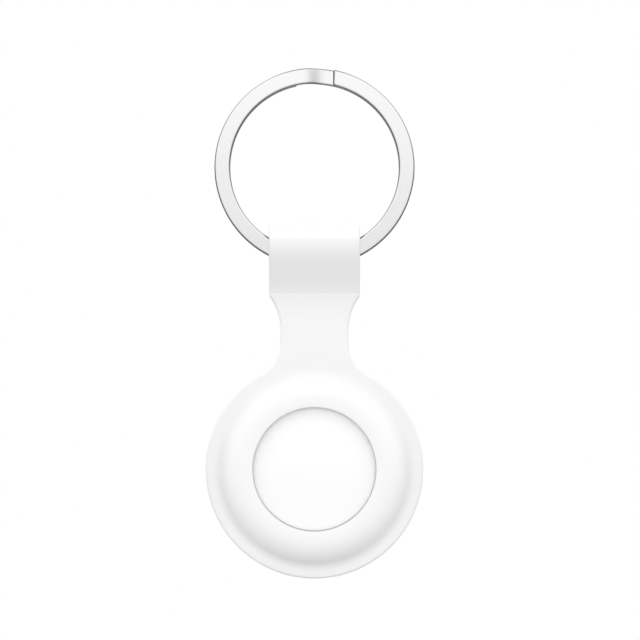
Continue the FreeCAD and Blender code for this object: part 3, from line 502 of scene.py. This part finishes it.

# Silicone holder
# One soft white moulding: loop, waisted neck and domed pocket. The mould's spark finish leaves a
# very fine matt texture, and its two halves leave a faint line along the middle of the sides. The
# strap, the flange and the groove round the dome are painted a little greyer as shade.

RIM = 0.020545
RIM_EDGE = 0.0005
NECK_FACE = 0.00175
NECK_SIDE = 0.00643
NECK_RUN = 0.0024
ROOT_ROUND = 0.0065
STRAP_SIDE = 0.00864
STRAP_CORNER = 0.00105
STRAP_EDGE_ROW = 0.985
SHOULDER_DROP = 0.00005
EYE_HEIGHT = 0.041407
EYE = 0.003112
EYE_MOUTH = 0.0004
LOOP = 0.005115
LOOP_LEAN = math.radians(25.51)
LEAN_ROWS = (0.04, 0.35, 0.65, 0.96)
FLANK_ROWS = (0, 0.05, 0.35, 0.65, 0.95, 1)
CREASE_ROUND = 0.0002
WINDOW = 0.01145
LIP_ROUND = 0.0003
CREST = 0.0048
CREST_EDGE = 0.0134
SWELL_EDGE = 0.0127
CREST_SWELL = 0.008
DOME_EDGE = 0.018
DOME_FOOT = 0.0015
TAG_PLAY = 0.00012
POCKET_SHOULDER_TURN = math.radians(-82.2)
POCKET_HEEL_TURN = math.radians(75.5)
POCKET_HEEL = (0.01385, 0.003111)
POCKET_FRONT = -0.003428
POCKET_BACK = 0.003432
PARTING_RISE = 0.00004
PARTING_SIDE = 0.0001
PARTING_FADE = 0.003


def other_half(line):
    """The same line beyond the middle, in reverse."""
    return [((-point[0], point[1]), (-way[0], way[1])) for point, way in reversed(line)]


holder_form = bmesh.new()
foot = EYE_HEIGHT - (LOOP - NECK_FACE * math.cos(LOOP_LEAN)) / math.sin(LOOP_LEAN)
crease = foot - CREASE_ROUND * math.tan(LOOP_LEAN / 2)
shoulder = foot - SHOULDER_DROP
root_angle = math.acos((NECK_SIDE + ROOT_ROUND) / (RIM + ROOT_ROUND))
waist_low = (RIM + ROOT_ROUND) * math.sin(root_angle)
waist_high = waist_low + NECK_RUN
step_in = STRAP_SIDE - STRAP_CORNER - NECK_SIDE
climb = shoulder - waist_high
waist_round = (step_in ** 2 + climb ** 2 - STRAP_CORNER ** 2) / (2 * (step_in + STRAP_CORNER))
waist_middle = (NECK_SIDE + waist_round, waist_high)
corner_angle = math.asin(climb / (waist_round + STRAP_CORNER))

# half outline from the crease under the loop down to the foot of the neck, then round the rim
neck_line = [((STRAP_SIDE, crease), (1, 0))]
neck_line += bend((STRAP_SIDE - STRAP_CORNER, shoulder), STRAP_CORNER, 0, -corner_angle, 10)
neck_line += bend(waist_middle, -waist_round, math.pi - corner_angle, math.pi, 14)[1:]
neck_line += bend((NECK_SIDE + ROOT_ROUND, waist_low), -ROOT_ROUND, math.pi, math.pi + root_angle, 14)
rim_line = bend((0, 0), RIM, root_angle, -math.pi / 2, 75)[1:]
outline = neck_line + rim_line + other_half(neck_line + rim_line)[1:]

# rounded edge and side wall all along the outline, with the parting line at its middle
edge_turn = [math.radians(15 * step) for step in range(7)]
front_edge = [(PARTING_RISE + (RIM_EDGE - PARTING_RISE) * (1 - math.sin(turn)),
               RIM_EDGE * (1 - math.cos(turn)) - NECK_FACE) for turn in edge_turn]
wall_half = NECK_FACE - RIM_EDGE - BESIDE
side_wall = [-wall_half, -PARTING_SIDE, 0.0, PARTING_SIDE, wall_half]
rows = []
for point, way in outline:
    flash = min((crease - point[1]) / PARTING_FADE, 1) * PARTING_RISE
    section = front_edge + [(PARTING_RISE - flash * (depth == 0), depth) for depth in side_wall]
    section += [(inset, -depth) for inset, depth in reversed(front_edge)]
    rows.append([(point[0] - inset * way[0], depth, point[1] - inset * way[1])
                 for inset, depth in section])
lay(holder_form, rows)

# flat faces of the neck, whose lowest row follows the rim of the pocket
across = [-1, -STRAP_EDGE_ROW] + [(step - 11) / 12 for step in range(23)] + [STRAP_EDGE_ROW, 1]
face_round = RIM - RIM_EDGE
neck_foot = face_round * math.sin(root_angle)
foot_side = face_round * math.cos(root_angle)
neck_bow = [math.sqrt(face_round ** 2 - (share * foot_side) ** 2) - neck_foot for share in across]
for face in (-NECK_FACE, NECK_FACE):
    rows = []
    for side, height in sunk(neck_line, RIM_EDGE):
        left = max(1 - (height - neck_foot) / (waist_low - neck_foot), 0)
        rows.append([(share * side, face, height + bow * left) for share, bow in zip(across, neck_bow)])
    lay(holder_form, rows)

# pocket, turned about its axis: flange, dome, lip, window and the hollow for the tag
dome_round = ((DOME_EDGE - CREST_EDGE) ** 2 + (CREST - NECK_FACE) ** 2) / (2 * (CREST - NECK_FACE))
dome_middle = CREST - dome_round
dome_angle = math.asin((NECK_FACE + DOME_FOOT - dome_middle) / (dome_round + DOME_FOOT))
foot_out = CREST_EDGE + (dome_round + DOME_FOOT) * math.cos(dome_angle)
foot_middle = (foot_out, NECK_FACE + DOME_FOOT)
wall = [(face_round, NECK_FACE), (face_round - BESIDE, NECK_FACE), (foot_out + BESIDE, NECK_FACE)]
wall += sunk(bend(foot_middle, -DOME_FOOT, -math.pi / 2, dome_angle - math.pi, 8), 0)
wall += sunk(bend((CREST_EDGE, dome_middle), dome_round, dome_angle, math.pi / 2, 16), 0)[1:]
lip_angle = math.pi / 2 + math.asin((SWELL_EDGE - WINDOW - LIP_ROUND) / (CREST_SWELL - LIP_ROUND))
lip_height = CREST - CREST_SWELL + (CREST_SWELL - LIP_ROUND) * math.sin(lip_angle)
wall += sunk(bend((SWELL_EDGE, CREST - CREST_SWELL), CREST_SWELL, math.pi / 2, lip_angle, 6), 0)
wall += sunk(bend((WINDOW + LIP_ROUND, lip_height), LIP_ROUND, lip_angle, math.pi, 8), 0)[1:]
wall.append((WINDOW, lip_height - BESIDE))
hollow = [(WINDOW, POCKET_FRONT)]
hollow += sunk(bend((SHOULDER_OUT, TAG_EQUATOR), SHOULDER_ROUND + TAG_PLAY, POCKET_SHOULDER_TURN, 0, 8), 0)
hollow += sunk(bend((HEEL_OUT, TAG_EQUATOR), HEEL_ROUND + TAG_PLAY, 0, POCKET_HEEL_TURN, 6), 0)[1:]
hollow += [POCKET_HEEL, (WINDOW, POCKET_BACK)]
turned = [(out, -depth) for out, depth in wall] + hollow + wall[::-1]
angles = [math.asin(share * math.cos(root_angle)) for share in across]
angles += [math.atan2(way[0], way[1]) for point, way in rim_line + other_half(rim_line)[1:]] + angles[:1]
turn_about(holder_form, turned, angles)

# loop: crease, leaning wall and round top, across the strap from edge to edge
front_crease = bend((-NECK_FACE - CREASE_ROUND, crease), -CREASE_ROUND, 0, LOOP_LEAN, 6)
round_top = bend((0, EYE_HEIGHT), LOOP, math.pi + LOOP_LEAN, -LOOP_LEAN, 48)
lean_from, lean_to = front_crease[-1], round_top[0]
lean_wall = [tuple(start + share * (stop - start) for start, stop in zip(lean_from[0], lean_to[0]))
             for share in LEAN_ROWS]
front_half = front_crease + [(point, lean_to[1]) for point in lean_wall]
loop_line = front_half + round_top + other_half(front_half)
lay(holder_form, [[(share * (STRAP_SIDE - RIM_EDGE), depth, height) for share in across]
                  for (depth, height), way in loop_line])

# rounded flank of the loop on each side, its flat round the eye, and the mouth of the eye
flank = STRAP_SIDE - PARTING_RISE
mouth = EYE + EYE_MOUTH
brink = sunk(loop_line, RIM_EDGE) + [(depth, crease) for depth in reversed(side_wall)]
brink.append(brink[0])
eye_turn = [math.atan2(height - EYE_HEIGHT, depth) for depth, height in brink]
for side in (-1, 1):
    lay(holder_form, [[(side * (STRAP_SIDE - inset), depth, height)
                       for depth, height in sunk(loop_line, fall + NECK_FACE)]
                      for inset, fall in front_edge])
    rows = []
    for share in FLANK_ROWS:
        rows.append([(side * flank, depth + share * (mouth * math.cos(turn) - depth),
                      height + share * (EYE_HEIGHT + mouth * math.sin(turn) - height))
                     for (depth, height), turn in zip(brink, eye_turn)])
    for turn_in in edge_turn[1:]:
        out = EYE + EYE_MOUTH * (1 - math.sin(turn_in))
        rows.append([(side * (flank - EYE_MOUTH * (1 - math.cos(turn_in))), out * math.cos(turn),
                      EYE_HEIGHT + out * math.sin(turn)) for turn in eye_turn])
    lay(holder_form, rows)
bore = flank - EYE_MOUTH
bore_rows = (-bore, BESIDE - bore, -bore / 2, 0, bore / 2, bore - BESIDE, bore)
lay(holder_form, [[(row, EYE * math.cos(turn), EYE_HEIGHT + EYE * math.sin(turn)) for turn in eye_turn]
                  for row in bore_rows])

# finish of the moulding, and a painted shade line round the edge of the window, where the lip meets the tag
SILICONE_WHITE = (0.932, 0.932, 0.930, 1)
SILICONE_SHADE = (0.917, 0.918, 0.917, 1)
SILICONE_PAINTED_SHADE = (0.82, 0.82, 0.82, 1)
SILICONE_CLOUD = 0.009
SILICONE_ROUGH = (0.52, 0.64)
SPARK_GRAIN = 0.00011
SPARK_DEPTH = 0.000005
LIP_SHADE_GREY = (0.38, 0.38, 0.38, 1)
LIP_SHADE_START = 0.00006
LIP_SHADE_REACH = 0.00026
LIP_SHADE_SLIP = 0.00005
LIP_SHADE_MOST = 0.75
LIP_SHADE_FALL = 0.25
LIP_SHADE_DEPTH = (0.0042, 0.0045)

soft_silicone, place = new_finish("soft_silicone", {"IOR": 1.41})
cloud = grain(place, SILICONE_CLOUD)
spark = grain(place, SPARK_GRAIN, detail=3.0)
radius, depth, _, up = about_axis(place, TAG_HEIGHT)
# painted shade line on the lip's inner edge, heavier at the bottom of the window than at the top
lip_shaded = 1 - (radius + LIP_SHADE_SLIP * up).ease(WINDOW + LIP_SHADE_START, WINDOW + LIP_SHADE_REACH)
lip_shade = lip_shaded * (LIP_SHADE_MOST - LIP_SHADE_FALL * up) * abs(depth).ease(*LIP_SHADE_DEPTH)

# share of painted shade on the flange and neck by distance out, and on the strap by height from the eye
FLANGE_GREY = 0.14
FLANGE_START = (0.0154, 0.0182)
UPPER_GREY = 0.36
UPPER_RISE = (-0.75, -0.1)
GROOVE_GREY = 0.32
GROOVE_END = (0.0182, 0.0190)
NECK_LESS_SHADE = 0.22
NECK_RISE = (0.020, 0.024)
CREASE_GREY = 0.375
CREASE_RISE = (-0.0135, -0.0084)
CREASE_END = (-0.0084, -0.0083)
LOOP_GREY = (0.365, 0.665)
LOOP_KNEE = (-0.0020, -0.0006)
LOOP_RISE = (-0.0083, -0.0062)
LOOP_END = (0.0014, 0.0025)

height = radius * up - EYE_HEIGHT
groove = 1 - radius.ease(*GROOVE_END)
flange_grey = FLANGE_GREY + UPPER_GREY * up.ease(*UPPER_RISE) + GROOVE_GREY * groove
flange_grey = flange_grey - NECK_LESS_SHADE * radius.ease(*NECK_RISE)
under_crease = height.ease(*CREASE_RISE) * (1 - height.ease(*CREASE_END))
on_loop = height.ease(*LOOP_RISE) * (1 - height.ease(*LOOP_END))
loop_grey = on_loop * height.ease(*LOOP_KNEE).between(*LOOP_GREY)
# painted shade: greyer under the crease, on the loop's lower wall, on the flange and in the groove round
# the dome
painted_shade = radius.ease(*FLANGE_START) * flange_grey + CREASE_GREY * under_crease + loop_grey
white_and_painted_shade = painted_shade.tint(cloud.tint(SILICONE_WHITE, SILICONE_SHADE), SILICONE_PAINTED_SHADE)
place.paint(lip_shade.tint(white_and_painted_shade, LIP_SHADE_GREY), spark.between(*SILICONE_ROUGH), spark, SPARK_DEPTH)
set_out(holder_form, "holder_moulding", [soft_silicone], "silicone_holder", "holder")

# Key ring
# A flat spring steel strip wound for two turns and plated bright, with a jog at the top where
# one turn steps behind the other. The rolled strip keeps a fine grain along its length. Its edges
# are painted dark as a reflection, and its inner edge beside the loop is painted darker as shade.

RING_MIDDLE = 0.0176
RING_DROP = 0.0001
STRIP_WIDE = 0.003
STRIP_THICK = 0.00095
STRIP_EDGE = 0.00034
EDGE_LEAST = 0.00004
EDGE_STEPS = 5
TURN_GAP = 0.0001
FRONT_END = 11.8
CUT_SKEW = 11.0
JOG_START = 350.25
JOG_STOP = 368.65
BACK_END = 708.1
PLAIN_START = 14
PLAIN_STOP = 707
END_BEVEL = ((0.0, 0.00023), (0.00004, 0.00019), (0.00023, 0.00002), (0.00029, 0.0))
CUT_ROWS = 2
RING_BRIGHT = (0.90, 0.90, 0.90, 1)
RING_DULL = (0.82, 0.82, 0.825, 1)
RING_EDGE_REFLECTION = (0.46, 0.46, 0.465, 1)
RING_FACE = (0.88, 0.985)
RING_ROUGH = (0.26, 0.10)
RING_STREAKS = (0.012, 0.00012)
RING_STREAK_ROUGH = 0.08
RING_RELIEF = 0.0000015
RING_LOOP_SHADE = (0.07, 0.07, 0.072, 1)
RING_LOOP_SHADE_RISE = (-0.83, -0.79)
RING_LOOP_SHADE_OUT = (0.0163, 0.01642)
CUT_STEEL_AND_SHADE = (0.10, 0.10, 0.105, 1)
CUT_BRIGHT = (0.18, 0.18, 0.185, 1)
CUT_GRAIN = 0.00008
CUT_RUN = (1.0, 0.2, 1.0)
CUT_ROUGH = (0.45, 0.60)
CUT_RELIEF = 0.000006


def strip_section(inset):
    """Points round the cut strip, out from the ring and through its thickness, drawn in by the inset."""
    edge = max(STRIP_EDGE - inset, EDGE_LEAST)
    out = STRIP_WIDE / 2 - inset - edge
    through = STRIP_THICK / 2 - inset - edge
    round_it = []
    for quarter, (side, face) in enumerate(((1, 1), (-1, 1), (-1, -1), (1, -1))):
        for step in range(EDGE_STEPS + 1):
            angle = math.pi / 2 * (quarter + step / EDGE_STEPS)
            round_it.append((side * out + edge * math.cos(angle), face * through + edge * math.sin(angle)))
        if face * side > 0:
            round_it += [(side * (out - BESIDE), face * (through + edge)),
                         (-side * (out - BESIDE), face * (through + edge))]
    return round_it


# stations along the strip in degrees, on the half degrees so that none passes the top of the solid
stations = [(FRONT_END + math.degrees(along / RING_MIDDLE), inset) for along, inset in END_BEVEL]
stations += [(step + 0.5, 0.0) for step in range(PLAIN_START, PLAIN_STOP)]
stations += [(BACK_END - math.degrees(along / RING_MIDDLE), inset) for along, inset in reversed(END_BEVEL)]
strip = []
ring_form = bmesh.new()
for station, inset in stations:
    share = min(max((station - JOG_START) / (JOG_STOP - JOG_START), 0), 1)
    eased = share ** 3 * (10 - 15 * share + 6 * share * share)
    level = (STRIP_THICK + TURN_GAP) * (eased - 0.5)
    skew = max(1 - (station - FRONT_END) / CUT_SKEW, 0) * math.tan(math.radians(FRONT_END))
    ends = []
    for out, through in strip_section(inset):
        angle = math.radians(station) - skew * out / RING_MIDDLE
        ends.append(ring_form.verts.new(((RING_MIDDLE + out) * math.sin(angle), level + through,
                                         (RING_MIDDLE + out) * math.cos(angle) - RING_DROP)))
    strip.append(ends)
for row, (near, far) in enumerate(zip(strip, strip[1:])):
    for here in range(len(near)):
        face = ring_form.faces.new((near[here], near[here - 1], far[here - 1], far[here]))
        face.material_index = int(row < CUT_ROWS or row > len(strip) - 2 - CUT_ROWS)
for cut in (strip[0], strip[-1]):
    ring_form.faces.new(cut).material_index = 1

ring_plating, place = new_finish("ring_plating", {"Metallic": 1.0})
streaks = turned_grain(place, -RING_DROP, *RING_STREAKS)
flat = facing(place, "Y").ease(*RING_FACE)
radius, _, _, up = about_axis(place, -RING_DROP)
# painted shade: the inner edge just beside the loop is near black
loop_shade_on_ring = (1 - up.ease(*RING_LOOP_SHADE_RISE)) * (1 - radius.ease(*RING_LOOP_SHADE_OUT))
# painted reflection: rounded edges and side walls are dark grey, outlining the strip
plated = flat.tint(RING_EDGE_REFLECTION, streaks.tint(RING_DULL, RING_BRIGHT))
place.paint(loop_shade_on_ring.tint(plated, RING_LOOP_SHADE), flat.between(*RING_ROUGH) + RING_STREAK_ROUGH * streaks,
            streaks, RING_RELIEF)
# the cut ends are raw steel, and are painted near black besides as painted shade in the seam
cut_ends, place = new_finish("cut_ends", {"Metallic": 1.0})
shear = grain(drawn_out(place, CUT_RUN), CUT_GRAIN)
place.paint(shear.tint(CUT_STEEL_AND_SHADE, CUT_BRIGHT), shear.between(*CUT_ROUGH), shear, CUT_RELIEF)
set_out(ring_form, "wound_ring", [ring_plating, cut_ends], "key_ring", "ring")

# Studio
# A pale floor well below the hanging holder, a soft white surround and one large soft lamp above
# and in front. The surround that metal mirrors is dark at the flanks, low down and straight above,
# which draws the edges of the ring.

FLOOR_HEIGHT = -0.125
FLOOR_REACH = 0.30
FLOOR_FADE = (0.4 * FLOOR_REACH, 0.95 * FLOOR_REACH)
FLOOR_PALE = (0.90, 0.90, 0.90, 1)
FLOOR_ROUGH = 0.9
SURROUND = 0.735
SURROUND_RISE = 0.30
SURROUND_FRONT = 0.36
SURROUND_SIDE = 0.20
SURROUND_BACK = 0.34
SIDE_RUN = (0.6, 1.0)
BACK_RUN = (0.4, 1.0)
SCREEN = (0.86, 1.14)
SCREEN_RISE = (0.09, 0.19)
OVER_DARK = 0.95
OVER_RISE = (0.55, 0.75)
OVER_ASIDE = (0.2, 0.45)
BELT_DARK = 0.9
BELT_DEPTH = (0.35, 0.75)
FLANK_DARK = 0.28
FLANK_ASIDE = (0.0, 0.9)
SHADED_RISE = (0.0, 0.8)
BEHIND_DARK = 0.25
BEHIND_LIFT = 0.5
LAMP_PLACE = Vector((0.0, -0.30, 0.62))
LAMP_POWER = 0.62
LAMP_SPAN = 0.45
VIEW_CENTRE = Vector((0.001045, 0.0, -0.02935))
VIEW_WIDTH = 0.12165
VIEW_DISTANCE = 0.42
VIEW_LIFT = math.radians(4.4)
SENSOR = 36.0

floor_mesh = bpy.data.meshes.new("floor")
floor_corners = [(FLOOR_REACH * x, FLOOR_REACH * y, FLOOR_HEIGHT)
                 for x, y in ((-1, -1), (1, -1), (1, 1), (-1, 1))]
floor_mesh.from_pydata(floor_corners, [], [(0, 1, 2, 3)])
floor = bpy.data.objects.new("floor", floor_mesh)
floor.visible_diffuse = False
floor.visible_glossy = False
bpy.context.scene.collection.objects.link(floor)
floor_finish, place = new_finish("floor_finish", {"Base Color": FLOOR_PALE, "Roughness": FLOOR_ROUGH})
x = place.node("SeparateXYZ", sockets={0: place}, output="X")
y = x.also("Y")
reach = x.math("SQRT", x * x + y * y)
seen_from_above = 1 - place.node("NewGeometry", output="Backfacing")
fade = (1 - reach.ease(*FLOOR_FADE)) * seen_from_above
place.tree.links.new(fade.socket, place.tree.nodes["Principled BSDF"].inputs["Alpha"])
floor_mesh.materials.append(floor_finish)

# the surround is plain white to the camera, graded in mirrors, and a soft light on all else
world = bpy.data.worlds.new("surround")
world.use_nodes = True
bpy.context.scene.world = world
camera_ray = Shade(world.node_tree).node("LightPath", output="Is Camera Ray")
clear_ray = camera_ray.also("Is Transmission Ray")
mirror_ray = camera_ray.also("Is Glossy Ray")
towards = camera_ray.node("TexCoord", output="Generated")
depth = towards.node("SeparateXYZ", sockets={0: towards}, output="Y")
rise = depth.also("Z")
aside = abs(depth.also("X"))
screen = rise.ease(*SCREEN_RISE).between(*SCREEN)
over = 1 - OVER_DARK * rise.ease(*OVER_RISE) * (1 - (aside / rise).ease(*OVER_ASIDE))
belt = 1 - abs(depth).ease(*BELT_DEPTH)
shaded = FLANK_DARK * aside.ease(*FLANK_ASIDE) * (1 - belt) + BELT_DARK * belt
shaded = shaded * (1 - rise.ease(*SHADED_RISE))
behind = 1 - depth.ease(0.0, 1.0) * (BEHIND_DARK - BEHIND_LIFT * rise)
seen_in_metal = screen * (1 - shaded) * over * behind
soft_light = SURROUND + SURROUND_RISE * rise + SURROUND_FRONT * depth.math("MAXIMUM", -1 * depth, 0)
soft_light = soft_light + SURROUND_SIDE * aside.ease(*SIDE_RUN) + SURROUND_BACK * depth.ease(*BACK_RUN)
seen_white = camera_ray.math("MAXIMUM", camera_ray, clear_ray)
lit = mirror_ray * seen_in_metal + (1 - mirror_ray) * soft_light
strength = seen_white + (1 - seen_white) * lit
background = world.node_tree.nodes["Background"]
world.node_tree.links.new(strength.socket, background.inputs["Strength"])
background.inputs["Color"].default_value = (1, 1, 1, 1)

lamp_data = bpy.data.lights.new("soft_lamp", "AREA")
lamp_data.energy = LAMP_POWER
lamp_data.size = LAMP_SPAN
lamp = bpy.data.objects.new("soft_lamp", lamp_data)
lamp.location = LAMP_PLACE
lamp.rotation_euler = (VIEW_CENTRE - LAMP_PLACE).to_track_quat("-Z", "Y").to_euler()
bpy.context.scene.collection.objects.link(lamp)

camera_data = bpy.data.cameras.new("camera")
camera_data.sensor_width = SENSOR
camera_data.lens = SENSOR * VIEW_DISTANCE / VIEW_WIDTH
camera = bpy.data.objects.new("camera", camera_data)
camera.location = VIEW_CENTRE - VIEW_DISTANCE * Vector((0, math.cos(VIEW_LIFT), math.sin(VIEW_LIFT)))
camera.rotation_euler = (math.pi / 2 + VIEW_LIFT, 0, 0)
bpy.context.scene.collection.objects.link(camera)
bpy.context.scene.camera = camera
bpy.context.scene.view_settings.view_transform = "Standard"
